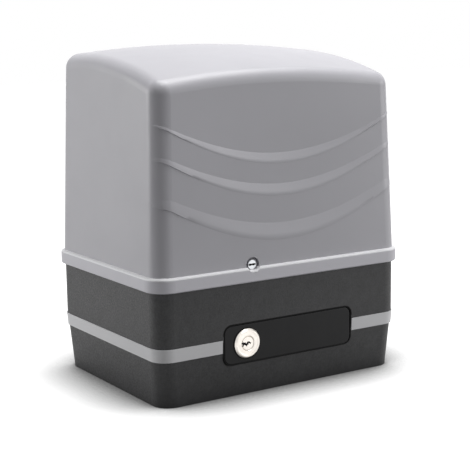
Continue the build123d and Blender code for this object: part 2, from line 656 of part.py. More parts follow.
TERRACE_TAPER = 10.0
DEEPEST = LEDGES * LEDGE_DEPTH
with BuildPart() as cover:
    loft([cover_section(RIM_TOP - 1, 0.0, DEEPEST), cover_section(COVER_TOP_Z, 0.0, DEEPEST)], ruled=True)
    add(roof(0), mode=Mode.INTERSECT)
    roof_edges = [e for e in cover.edges() if e.center().Z > SCREW_Z + ROOF_RISE / 2
                  and e.bounding_box().size.Z < ROOF_RISE / 3]
    fillet(roof_edges, ROOF_FILLET)
    for index in range(LEDGES):
        add(terrace(index))
    with BuildPart(mode=Mode.PRIVATE) as rim:
        slab(0, BASE_H, RIM_TOP, RIM_R)
        fillet(rim.edges().group_by(Axis.Z)[-1], RIM_FILLET)
        chamfer(rim.edges().group_by(Axis.Z)[0], RIM_CHAMFER)
    add(rim.part)
    # Inside: skirt over the lip, then the hollow under the roof
    slab(SKIRT_INSET, BASE_H, BASE_H + LIP_H, RIM_R - SKIRT_INSET, Mode.SUBTRACT)
    with BuildPart(mode=Mode.PRIVATE) as hollow:
        loft([cover_section(BASE_H + LIP_H - 1, -COVER_WALL, DEEPEST),
              cover_section(COVER_TOP_Z, -COVER_WALL, DEEPEST)], ruled=True)
        add(roof(COVER_WALL), mode=Mode.INTERSECT)
    add(hollow.part, mode=Mode.SUBTRACT)
    # Screw holes with round recesses, front and rear
    rod_y(SCREW_X, SCREW_Z, -RIM_D, RIM_D, SCREW_R + SCREW_HOLE_GAP, mode=Mode.SUBTRACT)
    rod_y(SCREW_X, SCREW_Z, -RIM_D, FRONT_SEAT_Y, RECESS_R, mode=Mode.SUBTRACT)
    rod_y(SCREW_X, SCREW_Z, REAR_SEAT_Y, RIM_D, RECESS_R, mode=Mode.SUBTRACT)
save(cover, "cover")

with BuildPart() as cover_screws:
    for seat_y, head_y, end_y in ((FRONT_SEAT_Y, FRONT_SEAT_Y - SCREW_HEAD_H, FRONT_SCREW_Y1),
                                  (REAR_SEAT_Y, REAR_SEAT_Y + SCREW_HEAD_H, REAR_TAB_Y0 - NUT_T - SCREW_END)):
        rod_y(SCREW_X, SCREW_Z, min(seat_y, head_y), max(seat_y, head_y), SCREW_HEAD_R)
        rod_y(SCREW_X, SCREW_Z, min(seat_y, end_y), max(seat_y, end_y), SCREW_R)
        block(SCREW_X - SCREW_HEAD_R, SCREW_X + SCREW_HEAD_R, head_y - 1, head_y + 1,
              SCREW_Z - SCREW_SLOT / 2, SCREW_Z + SCREW_SLOT / 2, Mode.SUBTRACT)
save(cover_screws, "cover_screws")

with BuildPart() as cover_nuts:
    rod_y(SCREW_X, SCREW_Z, FRONT_TAB_Y1, FRONT_TAB_Y1 + NUT_T, NUT_R, SCREW_R)
    rod_y(SCREW_X, SCREW_Z, REAR_TAB_Y0 - NUT_T, REAR_TAB_Y0, NUT_R, SCREW_R)
save(cover_nuts, "cover_nuts")

# Release lever: panel, hinge hub and spiral cam
with BuildPart() as release_lever:
    panel_shape(0, 0, PANEL_BACK_Y, PANEL_T)
    fillet(release_lever.faces().sort_by(Axis.Y)[0].edges(), PANEL_EDGE_FILLET)
    chamfer(release_lever.faces().sort_by(Axis.Y)[-1].edges(), PANEL_BACK_CHAMFER)
    with BuildSketch(Plane(origin=(HINGE_X, HINGE_Y, LOCK_Z - CAM_H / 2))) as cam:
        with BuildLine():
            high = CAM_LOW_R + CAM_RISE
            spiral = []
            for i in range(CAM_STEPS + 1):
                turn = pi / 2 * i / CAM_STEPS
                reach = high - CAM_RISE * i / CAM_STEPS
                spiral.append((reach * cos(turn), reach * sin(turn)))
            Spline(*spiral)
            nook = CAM_LOW_R * sin(pi / 4)
            ThreePointArc((0, CAM_LOW_R), (-nook, nook), (-CAM_LOW_R, 0))
            Line((-CAM_LOW_R, 0), (high, 0))
        make_face()
    extrude(cam.sketch, amount=CAM_H)
    rod_z(HINGE_X, HINGE_Y, PANEL_Z0 - 1, PANEL_Z1 + 1, PIN_R + PIN_FIT, mode=Mode.SUBTRACT)
    rod_y(LOCK_X, LOCK_Z, PANEL_Y - 1, PANEL_BACK_Y + 1, BARREL_R, mode=Mode.SUBTRACT)
save(release_lever, "release_lever")

with BuildPart() as lever_hinge_pin:
    rod_z(HINGE_X, HINGE_Y, POCKET_Z0 - PIN_SEAT, POCKET_Z1 + PIN_SEAT, PIN_R)
save(lever_hinge_pin, "lever_hinge_pin")

LOCK_FACE_Y = PANEL_Y - LOCK_PROUD
with BuildPart() as lock_body:
    rod_y(LOCK_X, LOCK_Z, LOCK_FACE_Y, PANEL_Y, LOCK_R)
    chamfer(lock_body.edges().sort_by(Axis.Y)[0], LOCK_CHAMFER)
    rod_y(LOCK_X, LOCK_Z, PANEL_Y, BARREL_Y1, BARREL_R)
    rod_y(LOCK_X, LOCK_Z, LOCK_FACE_Y - 1, BARREL_Y1 + 1, PLUG_R, mode=Mode.SUBTRACT)
    chamfer(lock_body.edges().filter_by(GeomType.CIRCLE).group_by(Axis.Y)[0].sort_by(SortBy.RADIUS)[0],
            PLUG_RING)
save(lock_body, "lock_body")

with BuildPart() as lock_nut:
    rod_y(LOCK_X, LOCK_Z, PANEL_BACK_Y, PANEL_BACK_Y + LOCK_NUT_T, LOCK_NUT_R, BARREL_R)
save(lock_nut, "lock_nut")

with BuildPart() as lock_plug:
    plug_y0 = LOCK_FACE_Y + PLUG_DROP
    rod_y(LOCK_X, LOCK_Z, plug_y0, TONGUE_Y0, PLUG_R - PIN_FIT)
    chamfer(lock_plug.edges().sort_by(Axis.Y)[0], PLUG_RING)
    # Stepped keyway from the plug's left edge to its middle
    for x0, x1, z in ((LOCK_X - PLUG_R, LOCK_X - PLUG_R / 3, LOCK_Z + KEYWAY_STEP),
                      (LOCK_X - PLUG_R / 2, LOCK_X + KEYWAY_SLOT / 2, LOCK_Z - KEYWAY_STEP)):
        block(x0, x1, plug_y0 - 1, plug_y0 + KEYWAY_DEPTH, z - KEYWAY_SLOT / 2, z + KEYWAY_SLOT / 2,
              Mode.SUBTRACT)
save(lock_plug, "lock_plug")

with BuildPart() as lock_tongue:
    block(LOCK_X - TONGUE_W / 2, LOCK_X + TONGUE_REACH, TONGUE_Y0, TONGUE_Y1,
          LOCK_Z - TONGUE_W / 2, LOCK_Z + TONGUE_W / 2)
    fillet(lock_tongue.edges().filter_by(Axis.Y), TONGUE_FILLET)
save(lock_tongue, "lock_tongue")

with BuildPart() as release_plunger:
    rod_y(HINGE_X, LOCK_Z, PLUNGER_Y0, FORK_Y1 + PLUNGER_END, PLUNGER_R)
    chamfer(release_plunger.edges().sort_by(Axis.Y)[0], PLUNGER_R / 2)
save(release_plunger, "release_plunger")

with BuildPart() as plunger_bush:
    rod_y(HINGE_X, LOCK_Z, POCKET_BACK_Y, POCKET_BACK_Y + BASE_WALL, BUSH_R, PLUNGER_R + FIT)
    rod_y(HINGE_X, LOCK_Z, POCKET_BACK_Y + BASE_WALL, POCKET_BACK_Y + BASE_WALL + BUSH_LEN, BUSH_FLANGE_R,
          PLUNGER_R + FIT)
save(plunger_bush, "plunger_bush")

with BuildPart() as shift_fork:
    with BuildSketch(at_y(FORK_Y1)) as fork_face:
        with Locations((0, SHAFT_Z)):
            Circle(DOG_R + FORK_RING)
        with Locations(((HINGE_X + FORK_ROOT_X) / 2, LOCK_Z)):
            Rectangle(HINGE_X - FORK_ROOT_X, FORK_ARM_W)
        with Locations((HINGE_X, LOCK_Z)):
            Circle(FORK_EYE_R)
        with Locations((0, SHAFT_Z)):
            Circle(DOG_GROOVE_R + DOG_CLEAR, mode=Mode.SUBTRACT)
        with Locations((-RIM_W / 4, SHAFT_Z)):
            Rectangle(RIM_W / 2, RIM_D, mode=Mode.SUBTRACT)
        with Locations((HINGE_X, LOCK_Z)):
            Circle(PLUNGER_R + FIT, mode=Mode.SUBTRACT)
    extrude(fork_face.sketch, amount=FORK_T)
save(shift_fork, "shift_fork")


def ring_point(radius, angle):
    return (radius * cos(angle), SHAFT_Z + radius * sin(angle))


def jaws(y0, y1, r_in, r_out, share, mode=Mode.ADD):
    """Ring sectors round the shaft, as on a dog clutch; share is their part of the turn."""
    with BuildSketch(at_y(y1)) as face:
        for i in range(JAWS):
            middle = 2 * pi * i / JAWS
            first = middle - pi * share / JAWS
            last = middle + pi * share / JAWS
            with BuildLine():
                Line(ring_point(r_in, first), ring_point(r_out, first))
                ThreePointArc(ring_point(r_out, first), ring_point(r_out, middle), ring_point(r_out, last))
                Line(ring_point(r_out, last), ring_point(r_in, last))
                ThreePointArc(ring_point(r_in, last), ring_point(r_in, middle), ring_point(r_in, first))
            make_face()
    extrude(face.sketch, amount=y1 - y0, mode=mode)


with BuildPart() as clutch_dog:
    rod_y(0, SHAFT_Z, DOG_Y0, DOG_Y1, DOG_R, SHAFT_R + FIT)
    rod_y(0, SHAFT_Z, DOG_GROOVE_Y0, DOG_GROOVE_Y0 + FORK_T + 2 * FORK_PLAY, DOG_R + 1, DOG_GROOVE_R,
          mode=Mode.SUBTRACT)
    rod_y(0, SHAFT_Z, DOG_Y1 - SPRING_POCKET, DOG_Y1 + 1, SPRING_R + SPRING_SEAT, mode=Mode.SUBTRACT)
    jaws(DOG_Y0 - JAW_H, DOG_Y0, JAW_IN_R, JAW_OUT_R, JAW_SHARE)
save(clutch_dog, "clutch_dog")

with BuildPart() as clutch_spring:
    for i in range(SPRING_TURNS):
        y = REAR_BEARING_Y0 - SPRING_WIRE - TAB_GAP / 2 - SPRING_PITCH * i
        with BuildSketch(Plane(origin=(0, y, SHAFT_Z), x_dir=(1, 0, 0), z_dir=(0, 0, 1))):
            with Locations((SPRING_R, 0)):
                Rectangle(2 * SPRING_WIRE, 2 * SPRING_WIRE)
        revolve(axis=Axis((0, 0, SHAFT_Z), (0, 1, 0)))
save(clutch_spring, "clutch_spring")

# Output shaft with its key, pinion, washer and bolt
KEY_Y0 = PINION_Y0 + KEY_SIDE
KEY_Y1 = PINION_Y1 - 2 * KEY_SIDE
with BuildPart() as output_shaft:
    rod_y(0, SHAFT_Z, SHAFT_Y0, SHAFT_Y1, SHAFT_R)
    chamfer(output_shaft.edges().filter_by(GeomType.CIRCLE), SHAFT_CHAMFER)
    block(-KEY_W / 2, KEY_W / 2, KEY_Y0, KEY_Y1, SHAFT_Z + SHAFT_R - KEY_H / 2, SHAFT_Z + SHAFT_R + KEY_H,
          Mode.SUBTRACT)
    rod_y(0, SHAFT_Z, SHAFT_Y1 - BOLT_DEPTH - 2, SHAFT_Y1 + 1, BOLT_THREAD_R, mode=Mode.SUBTRACT)
save(output_shaft, "output_shaft")

with BuildPart() as pinion_key:
    block(-KEY_W / 2, KEY_W / 2, KEY_Y0, KEY_Y1, SHAFT_Z + SHAFT_R - KEY_H / 2, SHAFT_Z + SHAFT_R + KEY_H / 2)
save(pinion_key, "pinion_key")


def gear_face(module, teeth, thickness, addendum, dedendum, turn=0.0):
    """Gear outline in the plane of its own sketch; thickness is the tooth's share of the pitch."""
    pitch_r = module * teeth / 2
    base_r = pitch_r * cos(radians(20))
    root_r = pitch_r - dedendum * module
    tip_r = pitch_r + addendum * module
    half_pitch = pi * thickness / teeth

    def involute(radius):
        if radius <= base_r:
            return 0.0
        roll = sqrt((radius / base_r) ** 2 - 1)
        return roll - asin(min(1.0, roll / sqrt(1 + roll**2)))

    at_pitch = involute(pitch_r)
    flank_r = max(root_r, base_r)
    radii = (root_r, flank_r + 0.01, (flank_r + tip_r) / 2, tip_r)
    with BuildSketch() as face:
        Circle(root_r + 0.001)
        for i in range(teeth):
            mid = radians(turn) + 2 * pi * i / teeth
            left = []
            right = []
            for radius in radii:
                spread = half_pitch + at_pitch - involute(radius)
                left.append((radius * cos(mid + spread), radius * sin(mid + spread)))
                right.append((radius * cos(mid - spread), radius * sin(mid - spread)))
            with BuildLine():
                ThreePointArc(*left[1:])
                Line(left[0], left[1])
                Line(left[-1], right[-1])
                ThreePointArc(*right[1:])
                Line(right[0], right[1])
                Line(left[0], right[0])
            make_face()
    return face.sketch


def gear_plane(y):
    return Plane(origin=(0, y, SHAFT_Z), x_dir=(1, 0, 0), z_dir=(0, -1, 0))


with BuildPart() as pinion:
    with BuildSketch(gear_plane(PINION_Y1)):
        add(gear_face(PINION_MODULE, PINION_TEETH, 0.49, 1.0, 1.2, 90.0 + 180.0 / PINION_TEETH))
        Circle(SHAFT_R + FIT, mode=Mode.SUBTRACT)
    extrude(amount=PINION_W)
    block(-KEY_W / 2, KEY_W / 2, PINION_Y0 - 1, PINION_Y1 + 1, SHAFT_Z, SHAFT_Z + SHAFT_R + KEY_H / 2,
          Mode.SUBTRACT)
    rod_y(0, SHAFT_Z, PINION_Y1 - PINION_DISH, PINION_Y1 + 1, PINION_DISH_R, PINION_HUB_R, mode=Mode.SUBTRACT)
save(pinion, "pinion")

with BuildPart() as pinion_washer:
    rod_y(0, SHAFT_Z, SHAFT_Y1, SHAFT_Y1 + WASHER_T, WASHER_R, BOLT_THREAD_R)
save(pinion_washer, "pinion_washer")

with BuildPart() as pinion_bolt:
    rod_y(0, SHAFT_Z, SHAFT_Y1 - BOLT_DEPTH, SHAFT_Y1 + WASHER_T, BOLT_THREAD_R)
    with BuildSketch(at_y(SHAFT_Y1 + WASHER_T + BOLT_HEAD_H)) as hexagon:
        with Locations((0, SHAFT_Z)):
            RegularPolygon(BOLT_HEAD_R, 6)
    extrude(hexagon.sketch, amount=BOLT_HEAD_H)
save(pinion_bolt, "pinion_bolt")


def ball_bearing(y0):
    """Bearing round the shaft: two rings with a sunk shield between them."""
    bore = SHAFT_R + FIT
    groove_in = bore + (BEARING_R - bore) * 0.32
    groove_out = bore + (BEARING_R - bore) * 0.68
    with BuildPart() as bearing:
        rod_y(0, SHAFT_Z, y0, y0 + BEARING_W, BEARING_R, bore)
        rod_y(0, SHAFT_Z, y0 - 1, y0 + BEARING_GROOVE, groove_out, groove_in, mode=Mode.SUBTRACT)
        rod_y(0, SHAFT_Z, y0 + BEARING_W - BEARING_GROOVE, y0 + BEARING_W + 1, groove_out, groove_in,
              mode=Mode.SUBTRACT)
    return bearing


save(ball_bearing(FRONT_BEARING_Y0), "front_bearing")
save(ball_bearing(REAR_BEARING_Y0), "rear_bearing")

with BuildPart() as oil_seal:
    seal_y1 = REAR_WALL_Y - SEAL_INSET
    rod_y(0, SHAFT_Z, seal_y1 - SEAL_W, seal_y1, SEAL_R, SHAFT_R + FIT)
    rod_y(0, SHAFT_Z, seal_y1 - SEAL_LIP, seal_y1 + 1, SEAL_LIP_R, SHAFT_R + 2, mode=Mode.SUBTRACT)
save(oil_seal, "oil_seal")

# Worm wheel with web and jaw pockets, and the worm that drives it
with BuildPart() as worm_wheel:
    with BuildSketch(gear_plane(WHEEL_Y1)):
        add(gear_face(WHEEL_MODULE, WHEEL_TEETH, 0.36, 0.9, 1.1, 180.0))
        Circle(SHAFT_R + FIT, mode=Mode.SUBTRACT)
    extrude(amount=WHEEL_W)
    rod_y(0, SHAFT_Z, WHEEL_Y0 - 1, WHEEL_Y0 + WHEEL_DISH, WHEEL_DISH_R, WHEEL_HUB_R, mode=Mode.SUBTRACT)
    jaws(WHEEL_Y1 - JAW_H - 1, WHEEL_Y1 + 1, JAW_IN_R - DOG_CLEAR, JAW_OUT_R + DOG_CLEAR, JAW_POCKET_SHARE,
         Mode.SUBTRACT)
save(worm_wheel, "worm_wheel")

WORM_Z0 = SHAFT_Z - WORM_LEN / 2
THREAD_Z0 = SHAFT_Z - THREAD_TURNS / 2 * WORM_LEAD + WORM_LEAD / 2
with BuildPart() as worm_shaft:
    rod_z(WORM_X, WHEEL_Y, FLOOR + LOWER_SEAT_RISE + 1, MOTOR_Z1, WORM_SHAFT_R)
    rod_z(WORM_X, WHEEL_Y, WORM_Z0, WORM_Z0 + WORM_LEN, WORM_ROOT_R)
    with BuildLine(Plane(origin=(WORM_X, WHEEL_Y, THREAD_Z0))) as thread_path:
        Helix(WORM_LEAD, THREAD_TURNS * WORM_LEAD, WORM_ROOT_R)
    start = Plane(origin=thread_path.line @ 0, x_dir=(1, 0, 0), z_dir=thread_path.line % 0)
    with BuildSketch(start) as thread:
        depth = WORM_TIP_R - WORM_ROOT_R
        with BuildLine():
            Polyline((-THREAD_SUNK, -THREAD_ROOT_W / 2), (0, -THREAD_ROOT_W / 2), (depth, -THREAD_TIP_W / 2),
                     (depth, THREAD_TIP_W / 2), (0, THREAD_ROOT_W / 2), (-THREAD_SUNK, THREAD_ROOT_W / 2),
                     close=True)
        make_face()
    sweep(thread.sketch, path=thread_path.line, is_frenet=True)
save(worm_shaft, "worm_shaft")

with BuildPart() as worm_lower_bearing:
    rod_z(WORM_X, WHEEL_Y, FLOOR + LOWER_SEAT_RISE, FLOOR + LOWER_SEAT_RISE + LOWER_BEARING_H,
          LOWER_BEARING_R, WORM_SHAFT_R + FIT)
save(worm_lower_bearing, "worm_lower_bearing")

with BuildPart() as worm_upper_bearing:
    rod_z(WORM_X, WHEEL_Y, DECK_TOP, DECK_TOP + UPPER_BEARING_H, UPPER_BEARING_R, WORM_SHAFT_R + FIT)
save(worm_upper_bearing, "worm_upper_bearing")

with BuildPart() as motor_flange:
    rod_z(WORM_X, WHEEL_Y, DECK_TOP, MOTOR_Z0, MOTOR_R + FLANGE_STEP)
    rod_z(WORM_X, WHEEL_Y, DECK_TOP - 1, DECK_TOP + UPPER_BEARING_H, UPPER_BEARING_R, mode=Mode.SUBTRACT)
    rod_z(WORM_X, WHEEL_Y, DECK_TOP, MOTOR_Z0 + 1, WORM_SHAFT_R + FLANGE_STEP, mode=Mode.SUBTRACT)
save(motor_flange, "motor_flange")

with BuildPart() as motor_can:
    rod_z(WORM_X, WHEEL_Y, MOTOR_Z0, MOTOR_Z1, MOTOR_R, MOTOR_R - MOTOR_WALL)
save(motor_can, "motor_can")

with BuildPart() as motor_end_cap:
    rod_z(WORM_X, WHEEL_Y, MOTOR_Z1, MOTOR_Z1 + END_CAP_H, MOTOR_R)
    chamfer(motor_end_cap.edges().group_by(Axis.Z)[-1], END_CAP_CHAMFER)
    rod_z(WORM_X, WHEEL_Y, MOTOR_Z1 - 1, MOTOR_Z1 + END_CAP_H / 2, WORM_SHAFT_R + FLANGE_STEP,
          mode=Mode.SUBTRACT)
save(motor_end_cap, "motor_end_cap")

with BuildPart() as motor_screws:
    for side in (-1, 1):
        rod_z(WORM_X + side * MOTOR_SCREW_X, WHEEL_Y, MOTOR_Z1 + END_CAP_H,
              MOTOR_Z1 + END_CAP_H + MOTOR_SCREW_H, MOTOR_SCREW_R)
save(motor_screws, "motor_screws")

with BuildPart() as motor_magnets:
    rod_z(WORM_X, WHEEL_Y, MOTOR_Z0 + MAGNET_Z, MOTOR_Z0 + MAGNET_Z + MAGNET_H, MOTOR_R - MOTOR_WALL,
          MOTOR_R - MOTOR_WALL - MAGNET_T)
    block(WORM_X - MAGNET_GAP / 2, WORM_X + MAGNET_GAP / 2, WHEEL_Y - MOTOR_R, WHEEL_Y + MOTOR_R, MOTOR_Z0,
          MOTOR_Z1, Mode.SUBTRACT)
save(motor_magnets, "motor_magnets")

with BuildPart() as rotor_core:
    rod_z(WORM_X, WHEEL_Y, MOTOR_Z0 + ROTOR_Z, MOTOR_Z0 + ROTOR_Z + ROTOR_H, ROTOR_R, WORM_SHAFT_R + FIT)
save(rotor_core, "rotor_core")

with BuildPart() as commutator:
    rod_z(WORM_X, WHEEL_Y, MOTOR_Z0 + COMMUTATOR_Z, MOTOR_Z0 + COMMUTATOR_Z + COMMUTATOR_H, COMMUTATOR_R,
          WORM_SHAFT_R + FIT)
save(commutator, "commutator")

# Battery on the right, held by a strap
with BuildPart() as battery_case:
    block(BATTERY_X0, BATTERY_X1, BATTERY_Y0, BATTERY_Y1, DECK_TOP, BATTERY_TOP, radius=BATTERY_R)
    chamfer(battery_case.edges().group_by(Axis.Z)[-1], BATTERY_EDGE)
save(battery_case, "battery_case")

with BuildPart() as battery_terminals:
    for y in (BATTERY_Y0 + TERMINAL_END, BATTERY_Y1 - TERMINAL_END):
        block(BATTERY_X0 + TERMINAL_SIDE, BATTERY_X0 + TERMINAL_SIDE + TERMINAL_W, y, y + TERMINAL_T,
              BATTERY_TOP, BATTERY_TOP + TERMINAL_H)
save(battery_terminals, "battery_terminals")

with BuildPart() as battery_strap:
    strap_y0 = STRAP_Y - STRAP_W / 2
    strap_y1 = STRAP_Y + STRAP_W / 2
    block(BATTERY_X0 - STRAP_T, BATTERY_X1 + STRAP_T, strap_y0, strap_y1, DECK_TOP, BATTERY_TOP + STRAP_T)
    block(BATTERY_X0, BATTERY_X1, strap_y0 - 1, strap_y1 + 1, DECK_TOP - 1, BATTERY_TOP, Mode.SUBTRACT)
    block(BATTERY_X0 - STRAP_FOOT, BATTERY_X0 - STRAP_T, strap_y0, strap_y1, DECK_TOP, DECK_TOP + STRAP_T)
    block(BATTERY_X1 + STRAP_T, BATTERY_X1 + STRAP_FOOT, strap_y0, strap_y1, DECK_TOP, DECK_TOP + STRAP_T)
save(battery_strap, "battery_strap")

# Control board on a bracket at the front left, transformer behind it
with BuildPart() as board_bracket:
    bracket_y1 = BOARD_BACK_Y + BRACKET_T
    block(BOARD_X0, BOARD_X1, BOARD_BACK_Y, bracket_y1, DECK_TOP, BOARD_Z0 + BOARD_H)
    block(BOARD_X0 + BRACKET_FOOT_END, BOARD_X1 - BRACKET_FOOT_END, bracket_y1, BOARD_BACK_Y + BRACKET_FOOT,
          DECK_TOP, DECK_TOP + BRACKET_T)
save(board_bracket, "board_bracket")

with BuildPart() as control_board:
    block(BOARD_X0, BOARD_X1, BOARD_Y, BOARD_BACK_Y, BOARD_Z0, BOARD_Z0 + BOARD_H)
save(control_board, "control_board")

with BuildPart() as board_relays:
    for i in range(RELAYS):
        x = BOARD_X0 + RELAY_SIDE + RELAY_PITCH * i
        block(x, x + RELAY_W, BOARD_Y - RELAY_D, BOARD_Y, BOARD_Z0 + RELAY_Z, BOARD_Z0 + RELAY_Z + RELAY_H)
save(board_relays, "board_relays")

with BuildPart() as terminal_blocks:
    for i in range(TERMINALS):
        x = BOARD_X0 + BLOCK_SIDE + BLOCK_PITCH * i
        block(x, x + BLOCK_W, BOARD_Y - BLOCK_D, BOARD_Y, BOARD_Z0 + BLOCK_Z, BOARD_Z0 + BLOCK_Z + BLOCK_H)
        for j in range(WIRE_HOLES):
            hole_x = x + BLOCK_W * (j + 0.5) / WIRE_HOLES
            rod_y(hole_x, BOARD_Z0 + BLOCK_Z + BLOCK_H / 3, BOARD_Y - BLOCK_D - 1, BOARD_Y - BLOCK_D / 2,
                  WIRE_R, mode=Mode.SUBTRACT)
save(terminal_blocks, "terminal_blocks")

with BuildPart() as transformer_core:
    block(TRAFO_X0, TRAFO_X0 + TRAFO_W, TRAFO_Y0, TRAFO_Y0 + TRAFO_D, DECK_TOP, DECK_TOP + TRAFO_H)
    block(TRAFO_X0 + TRAFO_CORE, TRAFO_X0 + TRAFO_W - TRAFO_CORE, TRAFO_Y0 - 1, TRAFO_Y0 + TRAFO_D + 1,
          DECK_TOP + TRAFO_CORE, DECK_TOP + TRAFO_H - TRAFO_CORE, Mode.SUBTRACT)
save(transformer_core, "transformer_core")

with BuildPart() as transformer_winding:
    block(TRAFO_X0 + TRAFO_CORE, TRAFO_X0 + TRAFO_W - TRAFO_CORE, TRAFO_Y0 - WINDING_PROUD,
          TRAFO_Y0 + TRAFO_D, DECK_TOP + TRAFO_CORE, DECK_TOP + TRAFO_H - TRAFO_CORE)
save(transformer_winding, "transformer_winding")

with BuildPart() as limit_sensor:
    block(SENSOR_X - SENSOR_W / 2, SENSOR_X + SENSOR_W / 2, REAR_INNER_Y - SENSOR_D, REAR_INNER_Y,
          DECK_Z - FLANGE_STEP * 2 - SENSOR_H, DECK_Z - FLANGE_STEP * 2)
save(limit_sensor, "limit_sensor")

with BuildPart() as cable_grommet:
    rod_z(CABLE_X, CABLE_Y, FLOOR, FLOOR + GROMMET_H, CABLE_R + GROMMET_WALL, CABLE_R + GROMMET_GAP)
save(cable_grommet, "cable_grommet")
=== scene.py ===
"""Looks of the sliding gate motor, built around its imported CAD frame.

Metres, +Z up, front is -Y. Sizes of the pieces that are made here are in millimetres.
"""
import json
import math

import bmesh
import bpy
from mathutils import Matrix, Vector
from mathutils.bvhtree import BVHTree


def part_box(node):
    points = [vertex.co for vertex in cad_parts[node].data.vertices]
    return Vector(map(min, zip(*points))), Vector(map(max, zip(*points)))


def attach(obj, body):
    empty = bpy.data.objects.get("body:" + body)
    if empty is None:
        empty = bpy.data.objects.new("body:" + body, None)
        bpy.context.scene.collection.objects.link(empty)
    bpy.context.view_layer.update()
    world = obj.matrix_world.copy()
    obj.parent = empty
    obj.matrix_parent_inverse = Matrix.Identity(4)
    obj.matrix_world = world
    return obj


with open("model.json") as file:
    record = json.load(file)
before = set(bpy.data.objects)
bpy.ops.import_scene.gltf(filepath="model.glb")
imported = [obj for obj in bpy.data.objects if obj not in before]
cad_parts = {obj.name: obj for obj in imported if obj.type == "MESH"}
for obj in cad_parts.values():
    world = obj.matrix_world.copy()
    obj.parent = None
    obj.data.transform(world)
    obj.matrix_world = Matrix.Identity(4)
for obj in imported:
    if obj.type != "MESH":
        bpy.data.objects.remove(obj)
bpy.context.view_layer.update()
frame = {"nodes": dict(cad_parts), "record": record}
NODES = frame["nodes"]

# Camera fitted to the photograph: metres, degrees, and millimetres for the lens and the sensor
CAMERA_AT = Vector((-0.5585, -0.87615, 0.29329))
CAMERA_AZIMUTH = 32.88
CAMERA_DIP = 9.62
CAMERA_ROLL = -0.79
CAMERA_LENS = 91.18
SENSOR = 36.0


def make_camera():
    azimuth, dip, roll = (math.radians(a) for a in (CAMERA_AZIMUTH, CAMERA_DIP, CAMERA_ROLL))
    ahead = Vector((math.sin(azimuth) * math.cos(dip), math.cos(azimuth) * math.cos(dip),
                    -math.sin(dip)))
    right = Vector((math.cos(azimuth), -math.sin(azimuth), 0))
    up = right.cross(ahead)
    right, up = (right * math.cos(roll) + up * math.sin(roll),
                 up * math.cos(roll) - right * math.sin(roll))
    data = bpy.data.cameras.new("camera")
    data.lens = CAMERA_LENS
    data.sensor_width = SENSOR
    camera = bpy.data.objects.new("camera", data)
    bpy.context.scene.collection.objects.link(camera)
    axes = Matrix((right, up, -ahead)).transposed()
    camera.matrix_world = Matrix.Translation(CAMERA_AT) @ axes.to_4x4()
    bpy.context.scene.camera = camera


# Part of a noise's range that is spread over a material's range
NOISE_START = 0.35
NOISE_END = 0.65
# Half the height over which the rim's painted lighter colour goes over into the cover's, in metres
RIM_BLEND = 0.0002


class Surface:
    """A principled material and a few ways to add colour variation and relief to it."""

    def __init__(self, name, color, roughness, metallic=0.0, **sockets):
        self.material = bpy.data.materials.new(name)
        self.material.use_nodes = True
        self.tree = self.material.node_tree
        self.shader = self.tree.nodes["Principled BSDF"]
        self.color = color
        self.shader.inputs["Base Color"].default_value = (*color, 1.0)
        self.shader.inputs["Roughness"].default_value = roughness
        self.shader.inputs["Metallic"].default_value = metallic
        for socket, value in sockets.items():
            self.shader.inputs[socket.replace("_", " ")].default_value = value
        self.place = self.tree.nodes.new("ShaderNodeTexCoord").outputs["Object"]
        self.relief = None

    def node(self, kind, **inputs):
        made = self.tree.nodes.new(kind)
        for socket, value in inputs.items():
            made.inputs[socket.replace("_", " ")].default_value = value
        return made

    def link(self, source, target):
        self.tree.links.new(source, target)

    def times(self, factor):
        """The material's colour at a brightness factor."""
        return tuple(min(1, c * factor) for c in self.color) + (1,)

    def noise(self, scale, detail, roughness=0.5, stretch=None):
        """Noise in object coordinates, which may be stretched along the axes."""
        texture = self.node("ShaderNodeTexNoise", Scale=scale, Detail=detail, Roughness=roughness)
        place = self.place
        if stretch:
            mapping = self.node("ShaderNodeMapping", Scale=stretch)
            self.link(place, mapping.inputs["Vector"])
            place = mapping.outputs["Vector"]
        self.link(place, texture.inputs["Vector"])
        return texture.outputs["Fac"]

    def spread(self, source, low, high, start=NOISE_START, end=NOISE_END):
        """Values from start to end, spread from low to high."""
        span = self.node("ShaderNodeMapRange", From_Min=start, From_Max=end,
                         To_Min=low, To_Max=high)
        self.link(source, span.inputs["Value"])
        return span.outputs["Result"]

    def mixed(self, share):
        """Mix node that sets the base colour; its two colours are still to be given."""
        mix = self.tree.nodes.new("ShaderNodeMix")
        mix.data_type = "RGBA"
        self.link(share, mix.inputs["Factor"])
        return mix

    def tint(self, source, low, high, start=NOISE_START, end=NOISE_END):
        """Base colour that varies between two brightness factors."""
        mix = self.mixed(self.spread(source, 0, 1, start, end))
        mix.inputs["A"].default_value = self.times(low)
        mix.inputs["B"].default_value = self.times(high)
        self.link(mix.outputs["Result"], self.shader.inputs["Base Color"])

    def painted_light_below(self, height, factor):
        """Painted light: the moulded rim's colour, made a little lighter than what stands above
        it.
        """
        split = self.node("ShaderNodeSeparateXYZ")
        self.link(self.place, split.inputs["Vector"])
        mix = self.mixed(self.spread(split.outputs["Z"], 1, 0, height - RIM_BLEND,
                                     height + RIM_BLEND))
        self.link(self.shader.inputs["Base Color"].links[0].from_socket, mix.inputs["A"])
        mix.inputs["B"].default_value = self.times(factor)
        self.link(mix.outputs["Result"], self.shader.inputs["Base Color"])

    def gloss(self, source, low, high):
        """Roughness that varies between two values."""
        self.link(self.spread(source, low, high), self.shader.inputs["Roughness"])

    def bump(self, source, height, strength):
        """Relief, on top of the relief that the material already has."""
        bump = self.node("ShaderNodeBump", Strength=strength, Distance=height)
        self.link(source, bump.inputs["Height"])
        if self.relief is not None:
            self.link(self.relief, bump.inputs["Normal"])
        self.relief = bump.outputs["Normal"]
        self.link(self.relief, self.shader.inputs["Normal"])


